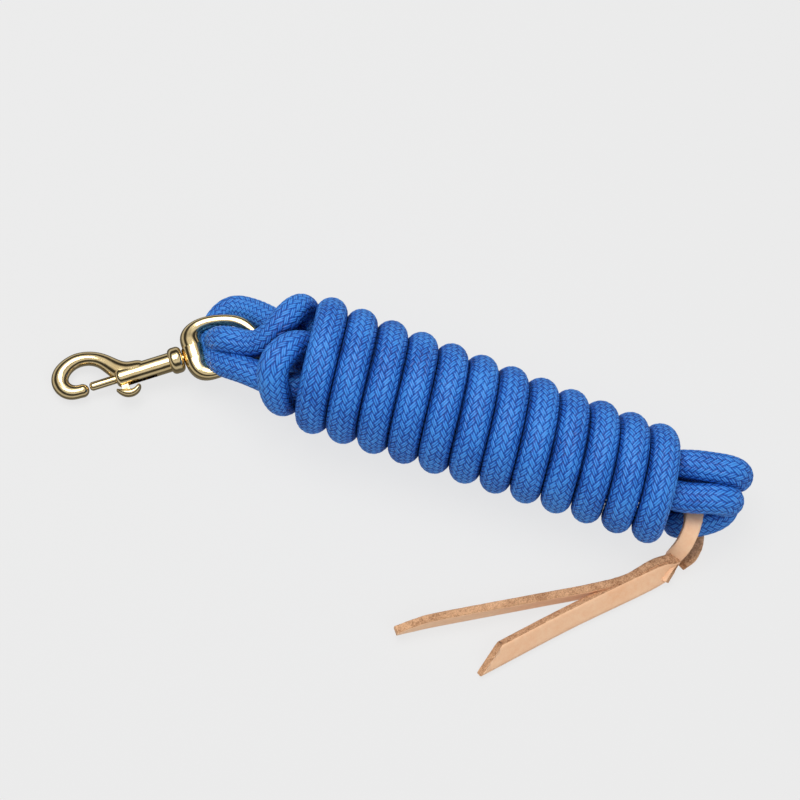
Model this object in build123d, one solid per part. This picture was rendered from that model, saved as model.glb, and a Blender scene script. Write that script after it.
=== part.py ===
from build123d import *
from math import cos, pi, radians, sin, tan
import os

# Lead rope with a swivel bolt snap and a leather popper, tied up as a hank.
#
# Millimetres. +X runs along the hank from the snap's end to the popper's end, +Z is up, and the
# hank lies on the plane z = 0. The origin is at the bottom centre of the whole object's box.

# ------------------------------------------------------------------ driving dimensions
ROPE_D = 14.0                    # braided rope
ROPE_R = ROPE_D / 2

# Layout: routes are written about the hank's own axis, then moved by this to the row's origin.
SHIFT_X = -4.76
SHIFT_Y = 35.96

# Hank
HANK_LEFT_X = -45.0              # face at the snap's end
HANK_RIGHT_X = 127.0             # face at the popper's end
HANK_LEFT_R = 31.0               # outer radius over the wraps
HANK_RIGHT_R = 26.7
HANK_EDGE_R = 6.0                # the outermost wraps round the ends off

# Snap, along its own axis: x from the hook towards the eye, y across in the hook's plane
SNAP_PLACE = (-112.0, -20.7, 10.6)
SNAP_YAW = 35.4                  # degrees from +X
SNAP_RISE = 10.5                 # degrees, the eye end is higher
BARREL_R = 4.4
BARREL_FRONT = -13.6
BARREL_REAR = 12.0
BARREL_EDGE_R = 2.2
BEAD_R = 6.0
BEAD_FRONT = 11.3
BEAD_REAR = 17.6
BEAD_EDGE_R = 2.3
GUIDE_BACK = -12.2               # inner face of the barrel's front wall
BORE_R = 2.75
RUNNING_GAP = 0.05               # radial clearance of the bolt and of the swivel
# Hook's centre line: x, y, width in the hook's plane, thickness
HOOK_LINE = [
    (-1.0, 0.2, 8.4, 8.4), (-7.5, 1.7, 9.4, 8.4), (-12.4, 4.8, 8.6, 7.6), (-16.5, 9.5, 7.2, 6.8),
    (-22.0, 13.2, 6.4, 6.4), (-28.0, 14.2, 6.6, 6.4), (-33.7, 12.4, 7.2, 6.4), (-37.4, 8.2, 7.7, 6.4),
    (-37.0, 3.2, 7.4, 6.4), (-33.6, 0.1, 6.7, 6.2), (-29.2, -0.6, 6.1, 6.0),
]
TIP_R = 3.03

# Bolt
BOLT_R = 2.0
BOLT_TIP = -25.7
BOLT_TIP_EDGE_R = 1.5
HEAD_FRONT = -12.15
HEAD_BACK = -8.1

# Thumb lug
STEM_FRONT = -11.9
STEM_BACK = -8.9
STEM_WIDE = 2.4
SLOT_WIDE = 2.8
SLOT_BACK = 4.4
# Lug's centre line, from the barrel's front round the thumb's hollow: x, y, width, thickness
LUG_LINE = [
    (-14.4, -5.4, 1.2, 3.2), (-12.6, -6.9, 2.8, 4.4), (-10.0, -8.2, 3.7, 4.8), (-7.2, -8.4, 3.2, 4.6),
    (-5.2, -7.3, 2.5, 4.2), (-4.3, -6.0, 1.5, 3.4),
]
STEM_DEEP = 2.9                  # how far the stem reaches past the barrel, into the lever
PRESS_DEPTH = 1.2                # the stem's seat in the bolt's head

# Spring
WIRE_D = 0.5
COIL_R = 2.1                     # to the wire's centre
COILS = 9
SPRING_GAP = 0.05                # free space at each end of the coil

# Swivel
STUD_FRONT = 11.0
STUD_NECK_R = 2.2
EYE_BASE_FRONT = 17.75
EYE_SEAT = 25.5                  # the shoulder inside the eye's base that the stud's head holds
COLLAR_LONG = 9.9                # the raised band round the eye's bore, along the snap's axis
COLLAR_WIDE = 6.0
COLLAR_THICK = 10.6
EYE_EDGE_SHARE = 0.44            # corner radius of the eye's section, as a share of its width
# Eye's centre line, from one side of the bore to the other: x, y, width, thickness
EYE_LINE = [
    (22.7, 1.0, 9.4, 10.2), (22.9, 6.0, 9.2, 9.6), (24.6, 10.6, 7.6, 7.8), (29.2, 13.0, 5.6, 6.0),
    (36.0, 12.9, 4.8, 5.2), (43.5, 10.5, 4.8, 5.0), (49.3, 5.2, 4.8, 5.0), (52.4, -1.5, 4.6, 5.0),
    (51.8, -7.6, 4.6, 5.0), (47.0, -11.0, 4.6, 5.0), (39.5, -11.6, 4.6, 5.0), (31.0, -11.5, 5.0, 5.4),
    (25.4, -10.0, 7.0, 7.2), (22.9, -5.6, 9.0, 9.4), (22.7, -1.0, 9.4, 10.2),
]
PEEN_R = 3.7
PEEN_LONG = 1.6
PEEN_GAP = 0.1
PEEN_EDGE_R = 1.2

# Leather popper
STRAP_WIDE = 10.5
STRAP_THICK = 3.8
TAIL_SLANT = 13.0                # the short tail's end is cut on a slant

ARC_SHARE = 0.45                 # an arc takes this share of the shorter run beside it


# ------------------------------------------------------------------ helpers
def place(shape):
    """Move a shape from the layout to the row's frame."""
    return Pos(SHIFT_X, SHIFT_Y, 0) * shape


def snap_plane():
    """The snap's own plane, in the layout."""
    yaw, rise = radians(SNAP_YAW), radians(SNAP_RISE)
    along = Vector(cos(rise) * cos(yaw), cos(rise) * sin(yaw), sin(rise))
    across = Vector(-sin(yaw), cos(yaw), 0)
    return Plane(origin=SNAP_PLACE, x_dir=along, z_dir=along.cross(across))


def rod(radius, start, end):
    """A cylinder along the snap's axis."""
    return extrude(Plane.YZ.offset(start) * Circle(radius), end - start)


def save(name, shape):
    """Write one node."""
    shape.label = name
    export_step(shape, f"parts/{name}.step")


def rope_tube(name, points):
    """A tube of rope along straight runs joined by tangent arcs, with its radii printed."""
    points = [Vector(*point) for point in points]
    runs = [end - start for start, end in zip(points, points[1:])]
    radii = []
    for before, after in zip(runs, runs[1:]):
        turn = radians(before.get_angle(after))
        shorter = min(before.length, after.length)
        radii.append(ARC_SHARE * shorter / tan(turn / 2))
    path = FilletPolyline(*points, radius=radii)
    tube = sweep(Plane(origin=path @ 0, z_dir=path % 0) * Circle(ROPE_R), path=path)
    share = tube.volume / (pi * ROPE_R**2 * path.length)
    tight = ", ".join(f"{radius:.1f}" for radius in radii)
    print(f"{name}: length {path.length:.0f}, volume share {share:.3f}, radii {tight}")
    save(name, place(tube))


# ------------------------------------------------------------------ rope
def hank():
    """The outer shape of the twelve wraps and the turn they start from, lying on the ground."""
    left = Plane(origin=(HANK_LEFT_X, 0, HANK_LEFT_R), z_dir=(1, 0, 0))
    right = Plane(origin=(HANK_RIGHT_X, 0, HANK_RIGHT_R), z_dir=(1, 0, 0))
    body = loft([left * Circle(HANK_LEFT_R), right * Circle(HANK_RIGHT_R)])
    ends = body.edges().filter_by(GeomType.CIRCLE)
    return fillet(ends, HANK_EDGE_R)


ROPE_ROUTES = {
    # From its tucked end, under the eye, up round a fold inside it, over it and behind the hank.
    "rope_eye_loop_upper": [
        (-36, -8, 20), (-47, -7.5, 18.5), (-57, -1.5, 15), (-67, 5.5, 9), (-78.5, 6, 8),
        (-85, 2, 18.5), (-79.5, -1.5, 29), (-69, -2, 31), (-62.5, 2, 37.5), (-59.5, 9.5, 42.5),
        (-56.5, 18, 40.5), (-53, 24.5, 32), (-46, 17, 22.5), (-36, 10, 26),
    ],
    # From the core, outside the eye, under its rim, up through it and back into the core.
    "rope_eye_loop_lower": [
        (-36, 3, 22), (-46, 8, 25), (-56, 13, 26.5), (-66, 17, 21.5), (-75.5, 20.5, 13),
        (-85.5, 20.5, 8), (-90, 10, 7), (-83.5, -2, 13.5), (-78, -8.5, 22), (-70, -12.5, 28),
        (-61, -14.5, 31), (-49, -16, 31.5), (-37, -12, 31.5),
    ],
    # The turn that starts the wraps: out of the core, down across the front and round behind.
    "rope_start_turn": [
        (-36, 2, 39), (-46, 2.5, 42), (-54, -5.5, 48), (-56.5, -16.5, 47), (-52.5, -21, 36),
        (-49, -20, 23.5), (-47, -12, 11.5), (-45, 2, 8.2), (-43, 15, 14),
    ],
    # The two bights at the popper's end, side by side.
    "rope_end_bight_upper": [
        (119, 8, 35), (130, 8.5, 36.5), (139.5, 10, 38.5), (149, 12.5, 39), (154.5, 15, 30),
        (150.5, 17, 20.5), (139, 16, 18.5), (129, 14, 20.5), (119, 11.5, 23),
    ],
    "rope_end_bight_lower": [
        (119, -4, 30), (130, -4.5, 31.5), (139, -2.5, 33.5), (148.5, 0.5, 34.5), (153.5, 4, 26),
        (149, 7, 17), (138, 6, 15.5), (128.5, 3.5, 17), (119, 1, 18),
    ],
    # The rope's tail, which the popper hangs from.
    "rope_tail_loop": [
        (119, -10.5, 12), (129, -8.8, 8), (139, -5.8, 7.2), (147, -0.5, 7.2),
    ],
}


# ------------------------------------------------------------------ snap
def bent_rod(line, section):
    """A cast rod, lofted along a line of (x, y, width, thickness) points."""
    sections = []
    last = len(line) - 1
    for i, (x, y, wide, thick) in enumerate(line):
        before, after = line[max(i - 1, 0)], line[min(i + 1, last)]
        along = Vector(after[0] - before[0], after[1] - before[1], 0)
        plane = Plane(origin=(x, y, 0), x_dir=(0, 0, 1), z_dir=along)
        sections.append(plane * section(thick, wide))
    return loft(sections)


def round_section(thick, wide):
    """The hook's and the lug's section."""
    return Ellipse(thick / 2, wide / 2)


def flat_section(thick, wide):
    """The eye's section, with flat faces and rounded edges."""
    return RectangleRounded(thick, wide, EYE_EDGE_SHARE * wide)


def snap_body():
    """Hook, barrel and bead: one casting, bored for the bolt and slotted for its lug."""
    barrel = rod(BARREL_R, BARREL_FRONT, BARREL_REAR)
    barrel = fillet(barrel.edges().filter_by(GeomType.CIRCLE).sort_by(Axis.X)[0], BARREL_EDGE_R)
    bead = rod(BEAD_R, BEAD_FRONT, BEAD_REAR)
    bead = fillet(bead.edges().filter_by(GeomType.CIRCLE), BEAD_EDGE_R)
    tip = Pos(HOOK_LINE[-1][0], HOOK_LINE[-1][1], 0) * Sphere(TIP_R)
    body = bent_rod(HOOK_LINE, round_section) + tip + barrel + bead
    body -= rod(BOLT_R + RUNNING_GAP, BOLT_TIP, BARREL_REAR)
    body -= rod(BORE_R, GUIDE_BACK, BEAD_REAR)
    slot_long = SLOT_BACK - GUIDE_BACK
    slot = Pos((SLOT_BACK + GUIDE_BACK) / 2, -BARREL_R, 0) * Box(slot_long, 2 * BARREL_R, SLOT_WIDE)
    return body - slot


def snap_bolt():
    """The sliding bolt: a rod with a rounded tip and a head that fills the bore."""
    bolt = rod(BOLT_R, BOLT_TIP, HEAD_BACK)
    bolt = fillet(bolt.edges().filter_by(GeomType.CIRCLE).sort_by(Axis.X)[0], BOLT_TIP_EDGE_R)
    bolt += rod(BORE_R - RUNNING_GAP, HEAD_FRONT, HEAD_BACK)
    return bolt - stem(0.0)


def stem(extra):
    """The part of the lug that stands in the bolt's head and passes through the slot."""
    long = STEM_BACK - STEM_FRONT
    top = -BORE_R + PRESS_DEPTH
    deep = top + BARREL_R + extra
    middle = ((STEM_BACK + STEM_FRONT) / 2, top - deep / 2, 0)
    return Pos(*middle) * Box(long, deep, STEM_WIDE)


def thumb_lug():
    """The thumb lug: a curled lever under the barrel, on a stem through the slot."""
    return bent_rod(LUG_LINE, round_section) + stem(STEM_DEEP)


def bolt_spring():
    """The coil spring between the bolt's head and the stud."""
    start = HEAD_BACK + WIRE_D / 2 + SPRING_GAP
    long = STUD_FRONT - start - WIRE_D / 2 - SPRING_GAP
    helix = Helix(pitch=long / COILS, height=long, radius=COIL_R)
    wire = sweep(Plane(origin=helix @ 0, z_dir=helix % 0) * Circle(WIRE_D / 2), path=helix)
    return Plane(origin=(start, 0, 0), z_dir=(1, 0, 0)).location * wire


def swivel_stud():
    """The stud pressed into the bead, whose peened head holds the eye."""
    head_front = EYE_SEAT + PEEN_GAP
    head = rod(PEEN_R, head_front, head_front + PEEN_LONG)
    head = fillet(head.edges().filter_by(GeomType.CIRCLE).sort_by(Axis.X)[-1], PEEN_EDGE_R)
    return rod(BORE_R, STUD_FRONT, BEAD_REAR) + rod(STUD_NECK_R, BEAD_REAR, head_front) + head


def swivel_eye():
    """The eye: a flat-sided rim on a thick base, bored for the stud and recessed for its head."""
    side = (EYE_BASE_FRONT + COLLAR_LONG / 2, -COLLAR_WIDE / 2, 0)
    base = Plane(origin=side, x_dir=(0, 0, 1), z_dir=(0, 1, 0))
    collar = extrude(base * flat_section(COLLAR_THICK, COLLAR_LONG), COLLAR_WIDE)
    bore = rod(STUD_NECK_R + RUNNING_GAP, EYE_BASE_FRONT - 1, EYE_SEAT + 1)
    recess = rod(PEEN_R + RUNNING_GAP, EYE_SEAT, EYE_BASE_FRONT + 2 * COLLAR_LONG)
    return bent_rod(EYE_LINE, flat_section) + collar - bore - recess


# ------------------------------------------------------------------ popper
# Each strip of leather: centre points, each with the direction its width lies in and its width.
STRAP_LOOP = [
    ((138.5, -23, 7.5), (1, -0.6, 0), 9.0), ((140, -19, 16.5), (1, -0.1, 0), 8.0),
    ((140.5, -12.5, 22), (1, 0.1, 0), 8.0), ((140, -4.5, 21), (1, 0.2, 0), 8.5),
    ((139, 2, 14.5), (1, 0.5, 0), 9.5), ((139.5, 2.8, 6.5), (1, 0.7, 0), STRAP_WIDE),
    ((142, -1.5, 2.4), (1, 0.8, 0), STRAP_WIDE), ((145.5, -8, 2.2), (1, 0.6, 0), STRAP_WIDE),
    ((145, -15.5, 3.2), (1, 0.2, 0), STRAP_WIDE), ((141, -22, 5.5), (1, -0.6, 0), STRAP_WIDE),
]
LONG_TAIL = [
    ((140, -22, 6.5), (0, 0, 1), 9.0), ((130, -29.5, 5.8), (0, 0, 1), STRAP_WIDE),
    ((120, -40.5, 5.5), (0, 0, 1), STRAP_WIDE), ((106, -50.2, 5.4), (0, 0, 1), STRAP_WIDE),
    ((86, -62, 5.4), (0, 0, 1), STRAP_WIDE), ((47, -85, 5.4), (0, 0, 1), STRAP_WIDE),
    ((38, -90.9, 5.4), (0, 0, 1), 8.6), ((30.5, -96.5, 5.4), (0, 0, 1), 3.0),
]
SHORT_TAIL = [
    ((140.5, -23.5, 7), (0, 0, 1), 9.0), ((133, -33, 5.6), (-0.5, 0.4, 0.8), STRAP_WIDE),
    ((100, -66, 5.4), (-0.5, 0.4, 0.8), STRAP_WIDE), ((68.5, -99.5, 5.4), (-0.5, 0.4, 0.8), STRAP_WIDE),
]


def strip(stations):
    """A flat strip through its stations, ruled from one cross-section to the next."""
    sections = []
    last = len(stations) - 1
    for i, (point, across, wide) in enumerate(stations):
        before = Vector(*stations[max(i - 1, 0)][0])
        after = Vector(*stations[min(i + 1, last)][0])
        along = (after - before).normalized()
        width = Vector(*across) - along * Vector(*across).dot(along)
        plane = Plane(origin=point, x_dir=width, z_dir=along)
        sections.append(plane * Rectangle(wide, STRAP_THICK))
    return loft(sections, ruled=True)


def knife(stations):
    """What a slanting cut takes off a strip's end: its upper edge is cut back by TAIL_SLANT."""
    (before, _, _), (end, across, wide) = stations[-2:]
    along = (Vector(*end) - Vector(*before)).normalized()
    width = (Vector(*across) - along * Vector(*across).dot(along)).normalized()
    middle = Vector(*end) - along * (TAIL_SLANT / 2)
    plane = Plane(origin=middle, z_dir=along * wide + width * TAIL_SLANT)
    waste = 4 * STRAP_WIDE
    return plane * Box(waste, waste, waste, align=(Align.CENTER, Align.CENTER, Align.MIN))


def popper():
    """The leather popper: a strip looped round the rope's tail, with its two tails."""
    return strip(STRAP_LOOP) + strip(LONG_TAIL) + (strip(SHORT_TAIL) - knife(SHORT_TAIL))


# ------------------------------------------------------------------ write the nodes
os.makedirs("parts", exist_ok=True)

save("rope_wraps", place(hank()))
for route_name, route in ROPE_ROUTES.items():
    rope_tube(route_name, route)

snap_frame = snap_plane().location
SNAP_PIECES = {
    "snap_body": snap_body,
    "snap_bolt": snap_bolt,
    "thumb_lug": thumb_lug,
    "bolt_spring": bolt_spring,
    "swivel_stud": swivel_stud,
    "swivel_eye": swivel_eye,
}
for node, make in SNAP_PIECES.items():
    save(node, place(snap_frame * make()))
save("popper_strap", place(popper()))
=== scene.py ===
"""Lead rope tied up as a hank, with a swivelling bolt snap and a leather popper.

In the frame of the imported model: +X along the hank from the snap's end to the popper's end, +Z up,
the popper on the -Y side. Lengths here are in millimetres where a comment doesn't say metres, and
MM turns them into the frame's metres.
"""

import math

import bpy
import numpy as np
from mathutils import Matrix, Vector, kdtree


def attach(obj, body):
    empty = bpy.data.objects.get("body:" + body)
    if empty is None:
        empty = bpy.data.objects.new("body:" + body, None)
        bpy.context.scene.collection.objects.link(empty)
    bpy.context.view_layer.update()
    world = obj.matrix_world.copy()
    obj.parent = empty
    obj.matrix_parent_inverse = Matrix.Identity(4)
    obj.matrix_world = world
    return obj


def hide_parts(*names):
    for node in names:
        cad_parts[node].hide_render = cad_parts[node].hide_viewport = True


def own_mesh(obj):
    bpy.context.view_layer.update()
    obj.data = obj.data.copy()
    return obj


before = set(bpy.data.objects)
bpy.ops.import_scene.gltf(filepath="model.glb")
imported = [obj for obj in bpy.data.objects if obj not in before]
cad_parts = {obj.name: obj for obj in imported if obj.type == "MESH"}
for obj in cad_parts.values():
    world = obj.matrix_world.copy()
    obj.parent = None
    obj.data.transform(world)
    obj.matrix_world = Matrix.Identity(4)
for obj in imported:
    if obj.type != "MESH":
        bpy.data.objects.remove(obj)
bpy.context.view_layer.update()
MM = 0.001

# ------------------------------------------------------------------ driving dimensions
ROPE_D = 14.0
ROPE_R = ROPE_D / 2
SHIFT = np.array((-4.76, 35.96, 0.0))  # from the hank's own axis to the frame

# Hank
WRAPS = 12
WRAP_PITCH = 14.18
FIRST_TOP_X = -41.0              # where the first wrap crosses the hank's upper side
TOP_TURN = math.radians(25)      # the upper side, as an angle from +Y towards +Z
FIRST_TURN = math.radians(-25)   # where the first wrap starts
LAST_TURN = math.radians(240)    # how far the last wrap runs on past the upper side
HANK_LEFT_X = -45.0
HANK_RIGHT_X = 127.0
HANK_LEFT_R = 24.0               # to the rope's centre
HANK_RIGHT_R = 19.7
POINTS_PER_TURN = 16

# Core: each strand's turn about the hank's axis in degrees, at its left and at its right end
CORE_TURNS = ((0, -99), (270, 136), (180, 46), (90, -20))
CORE_LEFT_X = -34.0
CORE_RIGHT_X = 108.0
CORE_LEFT_OFFSET = 8.6
CORE_RIGHT_OFFSET = 6.6
CORE_POINTS = 7

# Where the rope is squeezed: the hank's core, and the folds inside the snap's eye
CORE_SQUEEZE = 0.80
EYE_SQUEEZE = 0.90

# The rope's mesh
RINGS_PER_MM = 1.7
SEGMENTS = 96
CURVE_STEPS = 10                 # steps to each point of the route, before they are made even
SQUEEZE_BLEND = 41               # rings over which the rope's thickness changes
LINE_BLEND = 9                   # and over which its line is evened out
END_SHARE = 0.02                 # the rope's thickness at its very ends, as a share

# Braid
CARRIERS = 16                    # strands each way
BRAID_PITCH = 47.0               # length in which one strand goes once round
STRAND_RELIEF = 0.46
CROWN_SHARE = 0.38               # the share of the relief that a strand's round section makes
CROWN_POWER = 4                  # how squarely that section is rounded
OVER_SHARE = 0.62                # and the share that its rise over its neighbours makes
FLOAT_PLATEAU = 1.5              # how squarely a strand rises over its neighbours and dives again
RIGHT_PHASE = 1                  # where each way is on top, in its repeat of two over and two under
LEFT_PHASE = 3
YARNS_PER_STRAND = 2
QUARTER_TURN = math.pi / 2

# Painted shade where the rope lies against another stretch of itself, as in the gaps between touching
# wraps
CONTACT_SHADE_REACH = 10.5             # a face this near another strand's line is given painted shade
CONTACT_SHADE_RINGS = 4                # rings and segments between the places where that is measured
CONTACT_SHADE_SEGMENTS = 4

# Snap: its place and the coil spring inside its barrel, along the snap's own axis
SNAP_PLACE = (-112.0, -20.7, 10.6)
SNAP_YAW = math.radians(35.4)
SNAP_RISE = math.radians(10.5)
SPRING_WIRE = 0.5
SPRING_R = 2.1
SPRING_TURNS = 9
SPRING_POINTS_PER_TURN = 24
SPRING_FRONT = -7.75             # where the wire's centre starts, behind the bolt's head
SPRING_REAR = 10.65              # and where it ends, at the stud
WIRE_BEVEL = 3                   # how finely the wire's section is rounded

# Popper
STRAP_WIDE = 10.5
STRAP_THICK = 3.8
STRAP_ROUND = 0.55               # radius of the leather's rounded corners
TAIL_SLANT = 13.0                # the short tail's upper edge is cut back by this
STRAP_STEPS = 16                 # cross-sections to each gap
FACE_POINTS = 8                  # points across each face of the leather
EDGE_POINTS = 4                  # and down each cut edge
ON_OUTLINE = 0.99                # a section's coordinate past this is on that side of it
FUZZ = 0.09                      # how far the flesh side's fibres stand out
GRAIN_FUZZ = 0.15                # the grain side's share of that
FACE_FUZZ = 0.5                  # the share that moves the faces, and the cut edges
EDGE_FUZZ = 0.7
FUZZ_SEED = 7
TINY = 1e-9

# Camera, square to the hank and well above it
CAMERA_RISE = math.radians(65)
CAMERA_ROLL = math.radians(18.9)
CAMERA_AWAY = 839.0
CAMERA_LENS = 85.5
CAMERA_SENSOR = 36.0
CAMERA_CLIP = (0.01, 20.0)       # in metres
CAMERA_AIM = np.array((0.0, -2.9, 29.65))

# Ground and studio. A band is a height, from straight down (0) to straight up (1), and its grey
GROUND_REACH = 4.0               # in metres
GROUND_GREY = 0.10
GROUND_GLOW = 0.735
WORLD_STRENGTH = 0.9
WORLD_BANDS = (
    (0.0, 0.25), (0.30, 0.10), (0.45, 0.75), (0.58, 0.60),
    (0.66, 0.04), (0.82, 0.06), (0.89, 1.0), (1.0, 0.55),
)
# Soft boxes: name, place and size in metres, watts, and whether the brass shows it
LIGHTS = (
    ("key", (-0.35, 0.15, 1.2), (0.9, 0.6), 9.0, True),
    ("fill", (0.9, -0.5, 0.8), (0.5, 0.9), 3.0, False),
)
LIGHT_AIM = (0.0, 0.0, 0.0)

# Tones: places on a ramp from 0 to 1, each with its colour
# The rope's ramp runs from painted shade, for its grooves, to painted highlight, for its crowns
ROPE_TONES = (
    (0.05, (0.001, 0.005, 0.055)), (0.45, (0.008, 0.068, 0.38)),
    (0.80, (0.016, 0.145, 0.60)), (1.0, (0.060, 0.310, 0.86)),
)
ROPE_SHEEN = (0.25, 0.65, 1.0, 1.0)
BRASS_TONES = ((0.30, (0.70, 0.52, 0.25)), (0.75, (0.85, 0.70, 0.41)))
STEEL_TONES = ((0.3, (0.36, 0.36, 0.37)), (0.7, (0.58, 0.58, 0.60)))
GRAIN_TONES = ((0.30, (0.90, 0.50, 0.28)), (0.68, (0.98, 0.66, 0.43)))
FLESH_TONES = ((0.30, (0.30, 0.13, 0.055)), (0.68, (0.82, 0.48, 0.27)))

# ------------------------------------------------------------------ the rope's route
EYE_LOOP_UPPER = [
    (-36, -8, 20), (-47, -7.5, 18.5), (-57, -1.5, 15), (-67, 5.5, 9), (-78.5, 6, 8),
    (-87.5, 0.5, 18.5), (-80.5, -2, 29.5), (-69, -2, 31), (-62.5, 2, 37.5), (-59.5, 9.5, 42.5),
    (-56.5, 18, 40.5), (-53, 24.5, 32), (-46, 17, 22.5), (-36, 10, 26),
]
EYE_LOOP_LOWER = [
    (-36, 3, 22), (-46, 8, 25), (-56, 13, 26.5), (-66, 17.5, 21.5), (-76.2, 22.5, 14),
    (-87.5, 23, 9.5), (-91.5, 9.5, 7.2), (-86, -4, 13.5), (-79.5, -10, 21.5), (-70, -12.5, 28),
    (-61, -14.5, 31), (-49, -16, 31.5), (-37, -12, 31.5),
]
START_TURN = [
    (-36, 2, 39), (-46, 2.5, 42), (-54, -5.5, 48.5), (-57, -16.5, 47), (-52.5, -21.5, 35.5),
    (-49, -20, 24.5), (-47.5, -12, 12.5), (-46, 2, 8.6), (-44.5, 15, 14),
]
END_BIGHT_UPPER = [
    (130, 9.5, 38), (139.5, 10.5, 39.5), (149, 12.5, 39), (154.5, 15, 30),
    (150.5, 17, 20.5), (139, 16, 18.5), (129, 14, 20.5),
]
END_BIGHT_LOWER = [
    (130, -4.5, 31.5), (139, -2.5, 33.5), (149, 0.5, 35), (154, 4, 26),
    (148, 6.8, 17.2), (138, 6, 19.6), (128.5, 3.5, 19.5),
]
# From under the last wrap, round behind and forward through the popper, its end tucked under
TAIL = [
    (126, 9.5, 7.2), (133, 15.5, 7.2), (143, 18.5, 7.2), (152.5, 17, 7.2),
    (156.5, 8.5, 7.2), (150, 1, 7.2), (139.5, -4.7, 7.3), (130, -8, 8),
]

# ------------------------------------------------------------------ the popper's strips
# Each strip of leather: centre points, each with the direction its width lies in and its width
STRAP_LOOP = [
    ((137.5, -33, 3.4), (1, -0.3, 0.5), 4.6), ((138, -28.5, 5.6), (1, -0.4, 0.4), 5.6),
    ((138.5, -23, 8), (1, -0.6, 0), 7.4), ((140, -19, 16.5), (1, -0.1, 0), 7.6),
    ((140.5, -12.5, 22), (1, 0.1, 0), 7.6), ((140, -4.5, 21), (1, 0.2, 0), 8.5),
    ((139, 2, 14.5), (1, 0.5, 0), 9.5), ((139.5, 2.8, 6.5), (1, 0.7, 0), STRAP_WIDE),
    ((142, -1.5, 2.4), (1, 0.8, 0), STRAP_WIDE), ((145.5, -8, 2.2), (1, 0.6, 0), STRAP_WIDE),
    ((145, -15.5, 3.2), (1, 0.2, 0), STRAP_WIDE), ((141, -22, 5.5), (1, -0.6, 0), STRAP_WIDE),
]
LONG_TAIL = [
    ((140, -22, 6.5), (0, 0, 1), 9.0), ((130, -29.5, 5.8), (0, 0, 1), STRAP_WIDE),
    ((120, -40.5, 5.5), (0, 0, 1), 9.6), ((106, -50.2, 5.4), (0, 0, 1), STRAP_WIDE),
    ((86, -62, 5.4), (0, 0, 1), STRAP_WIDE), ((47, -85, 5.4), (0, 0, 1), STRAP_WIDE),
    ((38, -90.9, 5.4), (0, 0, 1), 8.6), ((30.5, -96.5, 5.4), (0, 0, 1), 3.0),
]
SHORT_TAIL = [
    ((140.5, -23.5, 7), (0, 0, 1), 9.0), ((133, -33, 5.6), (-0.5, 0.4, 0.8), STRAP_WIDE),
    ((100, -66, 5.4), (-0.5, 0.4, 0.8), STRAP_WIDE), ((68.5, -99.5, 5.4), (-0.5, 0.4, 0.8), STRAP_WIDE),
]


# ------------------------------------------------------------------ helpers
def link(name, data):
    """A new object of that data, in the scene."""
    obj = bpy.data.objects.new(name, data)
    bpy.context.scene.collection.objects.link(obj)
    return obj


def unit(vectors):
    """The vectors, each at length one."""
    return vectors / np.linalg.norm(vectors, axis=1)[:, None]


def distances(line):
    """How far along the line each of its points is."""
    steps = np.linalg.norm(np.diff(line, axis=0), axis=1)
    return np.concatenate(([0.0], np.cumsum(steps)))


def smooth(values, width):
    """A running mean."""
    kernel = np.ones(width) / width
    padded = np.pad(values, width // 2, mode="edge")
    return np.convolve(padded, kernel, mode="valid")[: len(values)]


# ------------------------------------------------------------------ the rope's line
def hank_radius(x):
    """The radius of the wraps' centre line, which narrows towards the popper's end."""
    share = (x - HANK_LEFT_X) / (HANK_RIGHT_X - HANK_LEFT_X)
    return HANK_LEFT_R + share * (HANK_RIGHT_R - HANK_LEFT_R)


def round_hank(x, offset, turn):
    """The point at an offset and a turn about the hank's axis."""
    axis_z = hank_radius(x) + ROPE_R
    return (x, offset * math.cos(turn), axis_z + offset * math.sin(turn))


def core_strand(left_degrees, right_degrees):
    """One strand inside the wraps, from left to right, twisting with its neighbours."""
    points = []
    for i in range(CORE_POINTS):
        share = i / (CORE_POINTS - 1)
        x = CORE_LEFT_X + share * (CORE_RIGHT_X - CORE_LEFT_X)
        offset = CORE_LEFT_OFFSET + share * (CORE_RIGHT_OFFSET - CORE_LEFT_OFFSET)
        turn = math.radians(left_degrees + share * (right_degrees - left_degrees))
        points.append(round_hank(x, offset, turn))
    return points


def wraps():
    """The wraps, from behind the first one to beneath the last."""
    last = TOP_TURN + (WRAPS - 1) * math.tau + LAST_TURN
    steps = round((last - FIRST_TURN) / math.tau * POINTS_PER_TURN)
    points = []
    for i in range(steps + 1):
        turn = FIRST_TURN + (last - FIRST_TURN) * i / steps
        x = FIRST_TOP_X + WRAP_PITCH * (turn - TOP_TURN) / math.tau
        points.append(round_hank(x, hank_radius(x), turn))
    return points


def rope_route():
    """The whole rope, from its end at the eye to its tail, with a squeeze at each point."""
    first, second, third, fourth = [core_strand(*turns) for turns in CORE_TURNS]
    stretches = [
        (EYE_LOOP_UPPER[:-1], EYE_SQUEEZE),
        (first, CORE_SQUEEZE),
        (END_BIGHT_LOWER[::-1], 1.0),
        (second[::-1], CORE_SQUEEZE),
        (EYE_LOOP_LOWER[1:-1], EYE_SQUEEZE),
        (third, CORE_SQUEEZE),
        (END_BIGHT_UPPER, 1.0),
        (fourth[::-1], CORE_SQUEEZE),
        (START_TURN[1:], 1.0),
        (wraps(), 1.0),
        (TAIL, 1.0),
    ]
    points = []
    squeezes = []
    for stretch, squeeze in stretches:
        points += stretch
        squeezes += [squeeze] * len(stretch)
    return (np.array(points, float) + SHIFT) * MM, np.array(squeezes)


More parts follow.
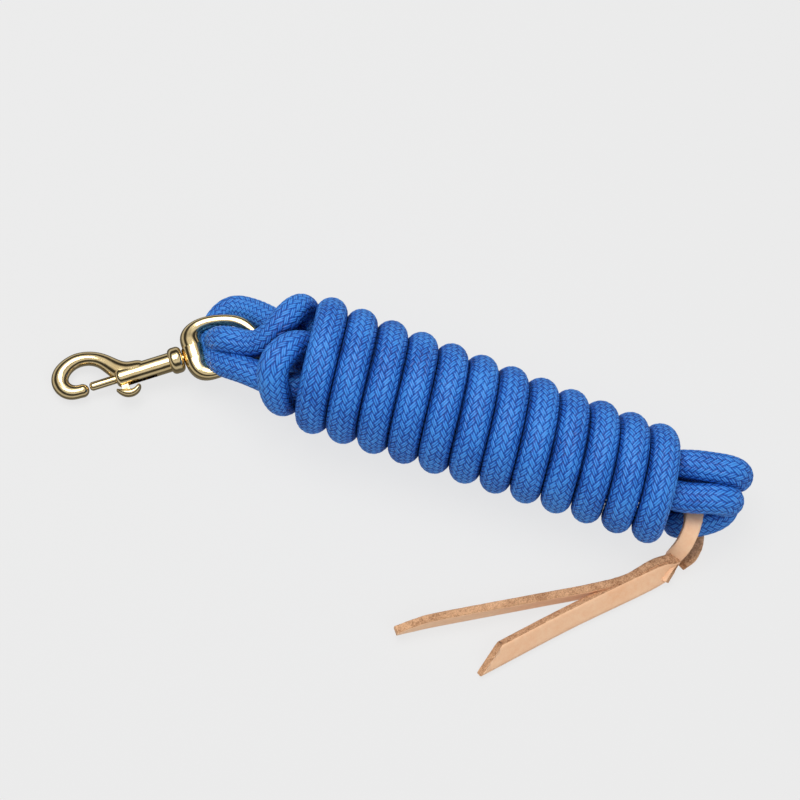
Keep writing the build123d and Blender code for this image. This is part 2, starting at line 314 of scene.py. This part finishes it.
def nurbs_line(points):
    """The points that one NURBS spline through the route gives, in order."""
    curve = bpy.data.curves.new("rope_line", "CURVE")
    curve.dimensions = "3D"
    curve.resolution_u = CURVE_STEPS
    spline = curve.splines.new("NURBS")
    spline.points.add(len(points) - 1)
    for spot, point in zip(spline.points, points):
        spot.co = (*point, 1)
    spline.order_u = 3
    spline.use_endpoint_u = True
    holder = link("rope_line", curve)
    mesh = bpy.data.meshes.new_from_object(holder)
    co = np.zeros(len(mesh.vertices) * 3)
    mesh.vertices.foreach_get("co", co)
    bpy.data.meshes.remove(mesh)
    bpy.data.objects.remove(holder)
    return co.reshape(-1, 3)


def rope_line():
    """The rope's line at even steps, how far along each point is, and its squeeze there."""
    points, squeezes = rope_route()
    line = nurbs_line(points)
    spans = np.linspace(0.0, 1.0, len(line))
    squeeze = np.interp(spans, np.linspace(0.0, 1.0, len(squeezes)), squeezes)
    at = distances(line)
    along = np.linspace(0.0, at[-1], int(at[-1] / (MM / RINGS_PER_MM)) + 1)
    axes = [smooth(np.interp(along, at, line[:, k]), LINE_BLEND) for k in range(3)]
    return np.stack(axes, axis=1), along, smooth(np.interp(along, at, squeeze), SQUEEZE_BLEND)


def untwisted_normals(line):
    """Two unit normals at each point, carried along without twist."""
    tangent = unit(np.gradient(line, axis=0))
    side = np.zeros_like(line)
    side[0] = np.cross(tangent[0], (0.0, 0.0, 1.0))
    side[0] /= np.linalg.norm(side[0])
    for i in range(1, len(line)):
        carried = side[i - 1] - tangent[i] * np.dot(side[i - 1], tangent[i])
        side[i] = carried / np.linalg.norm(carried)
    return side, np.cross(tangent, side)


# ------------------------------------------------------------------ the rope's mesh
def strand_height(own, other, phase):
    """The relief of one way's strands; own and other count the strands of each way."""
    strand = np.floor(own)
    crown = 1 - (2 * (own - strand) - 1) ** CROWN_POWER
    over = np.clip(FLOAT_PLATEAU * np.cos(QUARTER_TURN * (other + strand - phase)), -1, 1)
    return CROWN_SHARE * crown + OVER_SHARE * over


def braid_height(around, along):
    """The braid's relief, 0 in a groove to 1 on a crown; around and along in turns and pitches."""
    right = CARRIERS * (around + along)
    left = CARRIERS * (around - along)
    top = np.maximum(strand_height(right, left, RIGHT_PHASE), strand_height(left, right, LEFT_PHASE))
    return np.clip(top / (CROWN_SHARE + OVER_SHARE), 0.0, 1.0)


def contact_shade_share(line, side, up):
    """How closely another stretch of rope lies, 0 to 1, at every ring and segment: the share of painted
    shade there.
    """
    tree = kdtree.KDTree(len(line))
    for i, point in enumerate(line):
        tree.insert(point, i)
    tree.balance()
    rings = np.arange(0, len(line), CONTACT_SHADE_RINGS)
    segments = np.arange(0, SEGMENTS, CONTACT_SHADE_SEGMENTS)
    coarse = np.zeros((len(rings), len(segments) + 1))
    for column, segment in enumerate(segments):
        turn = math.tau * segment / SEGMENTS
        outward = side[rings] * math.cos(turn) + up[rings] * math.sin(turn)
        for row, point in enumerate(line[rings] + 2 * ROPE_R * MM * outward):
            coarse[row, column] = tree.find(point)[2]
    coarse[:, -1] = coarse[:, 0]
    coarse = np.clip(1 - coarse / (CONTACT_SHADE_REACH * MM), 0, 1)
    columns = np.append(segments, SEGMENTS)
    across = np.array([np.interp(np.arange(SEGMENTS), columns, row) for row in coarse])
    return np.array([np.interp(np.arange(len(line)), rings, column) for column in across.T]).T


def end_shape(along):
    """The rope's thickness near its two ends, which are sealed round, as a share."""
    reach = np.minimum(np.minimum(along, along[-1] - along) / (ROPE_R * MM), 1.0)
    return np.sqrt(np.maximum(1 - (1 - reach) ** 2, END_SHARE ** 2))


def tube_points(line, along, squeeze, side, up):
    """The braided tube's points, ring by ring."""
    turn = np.linspace(0.0, math.tau, SEGMENTS, endpoint=False)
    pitches = along / (BRAID_PITCH * MM)
    relief = STRAND_RELIEF * (1 - braid_height((turn / math.tau)[None, :], pitches[:, None]))
    radius = (ROPE_R * squeeze[:, None] - relief) * end_shape(along)[:, None] * MM
    return (line[:, None, :]
            + side[:, None, :] * (radius * np.cos(turn))[:, :, None]
            + up[:, None, :] * (radius * np.sin(turn))[:, :, None])


def tube_corners(rings):
    """A tube closed at both ends: its faces' sizes, and the ring and segment of each corner.

    Segments run on to SEGMENTS where the tube meets itself, so that the braid runs on too.
    """
    ring, segment = np.meshgrid(np.arange(rings - 1), np.arange(SEGMENTS), indexing="ij")
    quad_rings = np.stack([ring, ring, ring + 1, ring + 1], axis=-1).ravel()
    quad_segments = np.stack([segment, segment + 1, segment + 1, segment], axis=-1).ravel()
    cap = np.arange(SEGMENTS)
    corner_rings = np.concatenate([quad_rings, np.zeros_like(cap), np.full_like(cap, rings - 1)])
    corner_segments = np.concatenate([quad_segments, cap[::-1], cap])
    sizes = np.append(np.full(ring.size, 4), (SEGMENTS, SEGMENTS))
    return sizes, corner_rings, corner_segments


def make_rope():
    """The rope as one mesh with the braid's relief, its line, and its length."""
    line, along, squeeze = rope_line()
    side, up = untwisted_normals(line)
    points = tube_points(line, along, squeeze, side, up)
    sizes, rings, segments = tube_corners(len(line))
    mesh = bpy.data.meshes.new("rope")
    mesh.vertices.add(len(line) * SEGMENTS)
    mesh.vertices.foreach_set("co", points.ravel())
    mesh.loops.add(len(rings))
    mesh.loops.foreach_set("vertex_index", rings * SEGMENTS + segments % SEGMENTS)
    mesh.polygons.add(len(sizes))
    mesh.polygons.foreach_set("loop_start", np.cumsum(sizes) - sizes)
    mesh.polygons.foreach_set("loop_total", sizes)
    pitches = along / (BRAID_PITCH * MM)
    uv = mesh.uv_layers.new(name="braid")
    uv.data.foreach_set("uv", np.stack([segments / SEGMENTS, pitches[rings]], axis=-1).ravel())
    # Painted shade where another stretch of rope lies close, kept on the mesh for the shader
    contact_shade = mesh.attributes.new("contact_shade", "FLOAT", "POINT")
    contact_shade.data.foreach_set("value", contact_shade_share(line, side, up).ravel())
    mesh.update(calc_edges=True)
    mesh.validate()
    mesh.polygons.foreach_set("use_smooth", np.ones(len(mesh.polygons), bool))
    return link("rope", mesh), line, along[-1]


# ------------------------------------------------------------------ shader helpers
class Shader:
    """A material's node tree, with short ways to add nodes and numbers."""

    def __init__(self, name):
        self.material = bpy.data.materials.new(name)
        self.material.use_nodes = True
        self.tree = self.material.node_tree
        self.base = self.tree.nodes["Principled BSDF"]

    def node(self, kind, **settings):
        made = self.tree.nodes.new(kind)
        for key, value in settings.items():
            setattr(made, key, value)
        return made

    def feed(self, source, target):
        if isinstance(source, bpy.types.NodeSocket):
            self.tree.links.new(source, target)
        else:
            target.default_value = source

    def look(self, **sources):
        for key, source in sources.items():
            self.feed(source, self.base.inputs[key.replace("_", " ")])

    def math(self, operation, first, second=0.0, third=0.0):
        made = self.node("ShaderNodeMath", operation=operation)
        for source, target in zip((first, second, third), made.inputs):
            self.feed(source, target)
        return made.outputs[0]

    def scaled(self, value, gain, offset=0.0):
        return self.math("MULTIPLY_ADD", value, gain, offset)

    def place(self):
        return self.node("ShaderNodeTexCoord").outputs["Object"]

    def noise(self, vector, scale, detail=2.0, roughness=0.5):
        made = self.node("ShaderNodeTexNoise")
        self.feed(vector, made.inputs["Vector"])
        made.inputs["Scale"].default_value = scale
        made.inputs["Detail"].default_value = detail
        made.inputs["Roughness"].default_value = roughness
        return made.outputs["Fac"]

    def ramp(self, factor, tones):
        made = self.node("ShaderNodeValToRGB")
        self.feed(factor, made.inputs["Fac"])
        points = made.color_ramp.elements
        while len(points) < len(tones):
            points.new(0.5)
        for point, (place, colour) in zip(points, tones):
            point.position = place
            point.color = (*colour, 1.0)
        return made.outputs["Color"]

    def bump(self, height, strength, distance, normal=None):
        made = self.node("ShaderNodeBump")
        self.feed(height, made.inputs["Height"])
        made.inputs["Strength"].default_value = strength
        made.inputs["Distance"].default_value = distance
        if normal is not None:
            self.feed(normal, made.inputs["Normal"])
        return made.outputs["Normal"]


# ------------------------------------------------------------------ materials
def strand_pattern(shader, own, other, phase):
    """One way's strands, as strand_height makes them: height, place across and number."""
    m = shader.math
    strand = m("FLOOR", own)
    across = shader.scaled(m("SUBTRACT", own, strand), gain=2.0, offset=-1.0)
    crown = m("SUBTRACT", 1.0, m("POWER", m("ABSOLUTE", across), CROWN_POWER))
    wave = m("COSINE", m("MULTIPLY", m("ADD", m("ADD", other, strand), -phase), QUARTER_TURN))
    over = m("MINIMUM", m("MAXIMUM", m("MULTIPLY", wave, FLOAT_PLATEAU), -1.0), 1.0)
    height = m("ADD", m("MULTIPLY", crown, CROWN_SHARE), m("MULTIPLY", over, OVER_SHARE))
    return height, across, strand


def braid_pattern(shader):
    """The braid's height, its yarns' ripple from -1 to 1, and a random value for each strand."""
    m = shader.math
    uv = shader.node("ShaderNodeUVMap", uv_map="braid")
    split = shader.node("ShaderNodeSeparateXYZ")
    shader.feed(uv.outputs["UV"], split.inputs[0])
    around, along = split.outputs["X"], split.outputs["Y"]
    right = m("MULTIPLY", m("ADD", around, along), CARRIERS)
    left = m("MULTIPLY", m("SUBTRACT", around, along), CARRIERS)
    right_height, right_across, right_strand = strand_pattern(shader, right, left, RIGHT_PHASE)
    left_height, left_across, left_strand = strand_pattern(shader, left, right, LEFT_PHASE)
    right_on_top = m("GREATER_THAN", right_height, left_height)
    left_on_top = m("SUBTRACT", 1.0, right_on_top)

    def shown(right_value, left_value):
        return m("ADD", m("MULTIPLY", right_value, right_on_top), m("MULTIPLY", left_value, left_on_top))

    height = m("DIVIDE", m("MAXIMUM", right_height, left_height), CROWN_SHARE + OVER_SHARE)
    across = m("ADD", shown(right_across, left_across), 1.0)
    yarns = m("MULTIPLY", m("COSINE", m("MULTIPLY", across, YARNS_PER_STRAND * math.pi)), -1.0)
    which = shader.node("ShaderNodeCombineXYZ")
    shader.feed(shown(right_strand, left_strand), which.inputs["X"])
    shader.feed(right_on_top, which.inputs["Y"])
    own = shader.node("ShaderNodeTexWhiteNoise", noise_dimensions="2D")
    shader.feed(which.outputs[0], own.inputs["Vector"])
    return height, yarns, own.outputs["Value"]


def rope_material():
    """Braided blue polyester: crowned strands two over two, each with parallel yarns; painted shade in the
    grooves and where wraps touch, painted highlight on the crowns.
    """
    shader = Shader("blue_braid")
    m = shader.math
    height, yarns, own = braid_pattern(shader)
    patches = shader.noise(shader.place(), scale=60.0)
    contact_shade = shader.node("ShaderNodeAttribute", attribute_name="contact_shade").outputs["Fac"]
    # Painted shade and highlight: darker where the braid is low, in its grooves and between yarns, lighter
    # on its crowns and yarns
    tone = m("ADD", shader.scaled(height, gain=0.75, offset=0.22), shader.scaled(yarns, gain=0.17))
    tone = m("ADD", tone, shader.scaled(own, gain=0.20, offset=-0.12))
    tone = m("ADD", tone, shader.scaled(patches, gain=0.50, offset=-0.25))
    # Painted shade: darker where another stretch of rope lies close, as between touching wraps
    tone = m("SUBTRACT", tone, shader.scaled(contact_shade, gain=0.72))
    relief = m("ADD", height, shader.scaled(yarns, gain=0.34))
    shader.look(
        Base_Color=shader.ramp(tone, ROPE_TONES),
        Normal=shader.bump(relief, strength=0.60, distance=0.35 * MM),
        Roughness=shader.scaled(patches, gain=0.18, offset=0.36),
        Specular_IOR_Level=0.40,
        Sheen_Weight=0.06,
        Sheen_Roughness=0.4,
        Sheen_Tint=ROPE_SHEEN,
    )
    return shader.material


def brass_material():
    """Polished pale brass with the slight waviness of a tumbled casting."""
    shader = Shader("polished_brass")
    place = shader.place()
    wave = shader.noise(place, scale=220.0, detail=1.0)
    scratches = shader.noise(place, scale=2600.0, detail=3.0)
    patina = shader.noise(place, scale=90.0, detail=4.0, roughness=0.6)
    normal = shader.bump(wave, strength=0.35, distance=0.25 * MM)
    shader.look(
        Base_Color=shader.ramp(patina, BRASS_TONES),
        Normal=shader.bump(scratches, strength=0.10, distance=0.03 * MM, normal=normal),
        Roughness=shader.scaled(patina, gain=0.12, offset=0.07),
        Metallic=1.0,
    )
    return shader.material


def steel_material():
    """Drawn spring wire."""
    shader = Shader("spring_wire")
    streaks = shader.noise(shader.place(), scale=1800.0)
    shader.look(
        Base_Color=shader.ramp(streaks, STEEL_TONES),
        Normal=shader.bump(streaks, strength=0.2, distance=0.02 * MM),
        Roughness=shader.scaled(streaks, gain=0.2, offset=0.25),
        Metallic=1.0,
    )
    return shader.material


def leather_material(name, tones, depth, roughness):
    """Vegetable tanned leather: pores, fibres and slow changes of tone."""
    shader = Shader(name)
    place = shader.place()
    slow = shader.noise(place, scale=45.0, detail=3.0)
    pores = shader.noise(place, scale=1500.0, detail=4.0, roughness=0.65)
    fibre = shader.noise(place, scale=420.0, detail=3.0, roughness=0.6)
    tone = shader.math("ADD", shader.scaled(slow, gain=0.55), shader.scaled(fibre, gain=0.45))
    tone = shader.scaled(shader.math("SUBTRACT", pores, 0.5), gain=depth, offset=tone)
    normal = shader.bump(pores, strength=depth, distance=0.12 * MM)
    shader.look(
        Base_Color=shader.ramp(tone, tones),
        Normal=shader.bump(fibre, strength=depth, distance=0.25 * MM, normal=normal),
        Roughness=shader.scaled(fibre, gain=0.15, offset=roughness),
        Specular_IOR_Level=0.35,
    )
    return shader.material


# ------------------------------------------------------------------ leather popper
def smooth_through(values, steps):
    """A smooth line through values, with steps to each gap."""
    values = np.array(values, float)
    ends = np.vstack([2 * values[0] - values[1], values, 2 * values[-1] - values[-2]])
    out = []
    for i in range(1, len(ends) - 2):
        a, b, c, d = ends[i - 1:i + 3]
        for t in np.linspace(0, 1, steps, endpoint=False):
            out.append(0.5 * (2 * b + (c - a) * t + (2 * a - 5 * b + 4 * c - d) * t**2
                              + (3 * b - a - 3 * c + d) * t**3))
    out.append(values[-1])
    return np.array(out)


def strap_section():
    """A cross-section of half widths one, grain side first: its points, and which are rough."""
    across = np.linspace(-1, 1, FACE_POINTS)
    down = np.linspace(1, -1, EDGE_POINTS + 2)[1:-1]
    points = [(x, 1.0) for x in across] + [(1.0, y) for y in down]
    points += [(x, -1.0) for x in across[::-1]] + [(-1.0, y) for y in -down]
    rough = [False] * (FACE_POINTS - 1) + [True] * (len(points) - FACE_POINTS + 1)
    return np.array(points), rough


def rounded_section(section, half):
    """The cross-section at a half width, with its corners rounded: x across and y through it."""
    size = np.array((half, STRAP_THICK / 2))
    flat = section * size
    near = np.maximum(np.abs(flat) - (size - STRAP_ROUND), 0)
    past = np.hypot(near[:, 0], near[:, 1])
    shrink = np.where(past > STRAP_ROUND, STRAP_ROUND / np.maximum(past, TINY), 1.0)
    x, y = (np.sign(flat) * (np.abs(flat) - near * (1 - shrink)[:, None])).T
    return x, y


def strap_course(stations):
    """A strip's line, its directions along, across and out of the grain, and its half widths."""
    line = smooth_through([point for point, _, _ in stations], STRAP_STEPS)
    across = smooth_through([direction for _, direction, _ in stations], STRAP_STEPS)
    wide = smooth_through([(width,) for _, _, width in stations], STRAP_STEPS)[:, 0]
    along = unit(np.gradient(line, axis=0))
    across = unit(across - along * np.sum(across * along, axis=1)[:, None])
    return line, along, across, np.cross(across, along), wide / 2


def strap_rings(stations, slant, rng):
    """One strip's rings of points, in order, its end cut on a slant, and which are rough."""
    line, along, across, out, halves = strap_course(stations)
    section, rough = strap_section()
    fibres = np.where(section[:, 1] > ON_OUTLINE, GRAIN_FUZZ, 1.0)
    on_edge = np.abs(section[:, 0]) > ON_OUTLINE
    at = distances(line)
    rings = []
    for i, half in enumerate(halves):
        x, y = rounded_section(section, half)
        fuzz = rng.normal(0.0, FUZZ, len(section)) * fibres
        x = x + fuzz * EDGE_FUZZ * on_edge
        y = y + fuzz * FACE_FUZZ
        cut_back = np.maximum(slant * (x / half + 1) / 2 - (at[-1] - at[i]), 0.0)
        rings.append(line[i] + np.outer(x, across[i]) + np.outer(y, out[i])
                     - np.outer(cut_back, along[i]))
    return rings, rough


def strap_mesh(name, strips, grain, flesh):
    """The strips of leather in one mesh: grain outside, flesh inside and on the cut edges."""
    rng = np.random.default_rng(FUZZ_SEED)
    verts, faces, slots = [], [], []
    for stations, slant in strips:
        rings, rough = strap_rings(stations, slant, rng)
        start, count = len(verts), len(rough)
        for ring in rings:
            verts += [tuple((point + SHIFT) * MM) for point in ring]
        for i in range(len(rings) - 1):
            for k in range(count):
                here, there = start + i * count, start + (i + 1) * count
                after = (k + 1) % count
                faces.append((here + k, here + after, there + after, there + k))
                slots.append(int(rough[k]))
        faces.append(tuple(range(start, start + count))[::-1])
        faces.append(tuple(range(len(verts) - count, len(verts))))
        slots += [1, 1]  # the strip's ends are cut, so they are rough
    mesh = bpy.data.meshes.new(name)
    mesh.from_pydata(verts, [], faces)
    mesh.materials.append(grain)
    mesh.materials.append(flesh)
    mesh.polygons.foreach_set("material_index", slots)
    mesh.polygons.foreach_set("use_smooth", [len(face) == 4 for face in faces])
    return link(name, mesh)


# ------------------------------------------------------------------ bolt's spring
def snap_axes():
    """The snap's own directions: along it, across it in the hook's plane, and out of that plane."""
    level = math.cos(SNAP_RISE)
    along = np.array((level * math.cos(SNAP_YAW), level * math.sin(SNAP_YAW), math.sin(SNAP_RISE)))
    across = np.array((-math.sin(SNAP_YAW), math.cos(SNAP_YAW), 0.0))
    return along, across, np.cross(along, across)


def spring_curve(centre, along, across, out):
    """The coil as a round wire."""
    steps = SPRING_TURNS * SPRING_POINTS_PER_TURN
    curve = bpy.data.curves.new("spring", "CURVE")
    curve.dimensions = "3D"
    curve.bevel_depth = SPRING_WIRE / 2 * MM
    curve.bevel_resolution = WIRE_BEVEL
    curve.use_fill_caps = True
    spline = curve.splines.new("POLY")
    spline.points.add(steps)
    for i in range(steps + 1):
        turn = math.tau * i / SPRING_POINTS_PER_TURN
        x = SPRING_FRONT + (SPRING_REAR - SPRING_FRONT) * i / steps
        place = centre + along * x + SPRING_R * (across * math.cos(turn) + out * math.sin(turn))
        spline.points[i].co = (*(place * MM), 1)
    return curve


def spring_piece():
    """The spring as a mesh, its axis, and where it is seated."""
    along, across, out = snap_axes()
    centre = np.array(SNAP_PLACE) + SHIFT
    holder = link("spring_curve", spring_curve(centre, along, across, out))
    mesh = bpy.data.meshes.new_from_object(holder)
    bpy.data.objects.remove(holder)
    mesh.polygons.foreach_set("use_smooth", [True] * len(mesh.polygons))
    return link("bolt_spring_coil", mesh), along, (centre + along * SPRING_REAR) * MM


# ------------------------------------------------------------------ stage, lights and camera
def camera_axes():
    """The camera's right, up and back directions."""
    back = np.array((0.0, -math.cos(CAMERA_RISE), math.sin(CAMERA_RISE)))
    level = np.array((1.0, 0.0, 0.0))
    lift = np.array((0.0, math.sin(CAMERA_RISE), math.cos(CAMERA_RISE)))
    right = math.cos(CAMERA_ROLL) * level + math.sin(CAMERA_ROLL) * lift
    up = -math.sin(CAMERA_ROLL) * level + math.cos(CAMERA_ROLL) * lift
    return right, up, back


def add_camera():
    """The camera, aimed at the hank's middle."""
    data = bpy.data.cameras.new("camera")
    data.lens = CAMERA_LENS
    data.sensor_width = CAMERA_SENSOR
    data.clip_start, data.clip_end = CAMERA_CLIP
    camera = link("camera", data)
    right, up, back = camera_axes()
    place = Vector((CAMERA_AIM + SHIFT + CAMERA_AWAY * back) * MM)
    turned = Matrix((right, up, back)).transposed().to_4x4()
    camera.matrix_world = Matrix.Translation(place) @ turned
    bpy.context.scene.camera = camera


def area_light(name, place, size, watts, mirrored):
    """A soft box; polished brass shows it only when it is mirrored."""
    data = bpy.data.lights.new(name, "AREA")
    data.shape = "RECTANGLE"
    data.size, data.size_y = size
    data.energy = watts
    light = link(name, data)
    light.location = place
    light.rotation_euler = (Vector(LIGHT_AIM) - Vector(place)).to_track_quat("-Z", "Y").to_euler()
    light.visible_glossy = mirrored


def add_floor():
    """A pale grey ground that runs past every edge of the view, and isn't mirrored in the brass."""
    mesh = bpy.data.meshes.new("ground")
    corners = ((-1, -1), (1, -1), (1, 1), (-1, 1))
    mesh.from_pydata([(x * GROUND_REACH, y * GROUND_REACH, 0) for x, y in corners], [], [(0, 1, 2, 3)])
    ground = link("ground", mesh)
    shader = Shader("ground_grey")
    shader.look(
        Base_Color=(GROUND_GREY, GROUND_GREY, GROUND_GREY, 1.0),
        Roughness=1.0,
        Specular_IOR_Level=0.0,
        Emission_Color=(1.0, 1.0, 1.0, 1.0),
        Emission_Strength=GROUND_GLOW,
    )
    mesh.materials.append(shader.material)
    ground.visible_glossy = False


def add_world():
    """A studio, bright overhead and round the horizon, dark between them and dim below."""
    world = bpy.data.worlds.new("studio")
    world.use_nodes = True
    tree = world.node_tree
    back = tree.nodes["Background"]
    place = tree.nodes.new("ShaderNodeTexCoord")
    split = tree.nodes.new("ShaderNodeSeparateXYZ")
    height = tree.nodes.new("ShaderNodeMath")
    ramp = tree.nodes.new("ShaderNodeValToRGB")
    height.operation = "MULTIPLY_ADD"
    height.inputs[1].default_value = 0.5
    height.inputs[2].default_value = 0.5
    tree.links.new(place.outputs["Generated"], split.inputs[0])
    tree.links.new(split.outputs["Z"], height.inputs[0])
    tree.links.new(height.outputs[0], ramp.inputs["Fac"])
    tree.links.new(ramp.outputs["Color"], back.inputs["Color"])
    points = ramp.color_ramp.elements
    while len(points) < len(WORLD_BANDS):
        points.new(0.5)
    for point, (position, grey) in zip(points, WORLD_BANDS):
        point.position = position
        point.color = (grey, grey, grey, 1.0)
    back.inputs["Strength"].default_value = WORLD_STRENGTH
    bpy.context.scene.world = world


# ------------------------------------------------------------------ make everything
bpy.context.scene.view_settings.view_transform = "Standard"
add_camera()
add_floor()
add_world()
for light in LIGHTS:
    area_light(*light)

rope, line, rope_length = make_rope()
rope.data.materials.append(rope_material())
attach(rope, "rope")
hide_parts("rope_wraps", "rope_eye_loop_upper", "rope_eye_loop_lower", "rope_start_turn",
            "rope_end_bight_upper", "rope_end_bight_lower", "rope_tail_loop")

brass = brass_material()
for node in ("snap_body", "snap_bolt", "thumb_lug", "swivel_stud", "swivel_eye"):
    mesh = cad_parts[node].data
    mesh.materials.clear()
    mesh.materials.append(brass)
spring, spring_axis, spring_seat = spring_piece()
spring.data.materials.append(steel_material())
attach(spring, "snap")
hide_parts("bolt_spring")
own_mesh(spring)

grain = leather_material("leather_grain", GRAIN_TONES, depth=0.20, roughness=0.45)
flesh = leather_material("leather_flesh", FLESH_TONES, depth=0.9, roughness=0.80)
strap = strap_mesh("popper", ((STRAP_LOOP, 0.0), (LONG_TAIL, 0.0), (SHORT_TAIL, TAIL_SLANT)), grain, flesh)
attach(strap, "rope")
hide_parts("popper_strap")
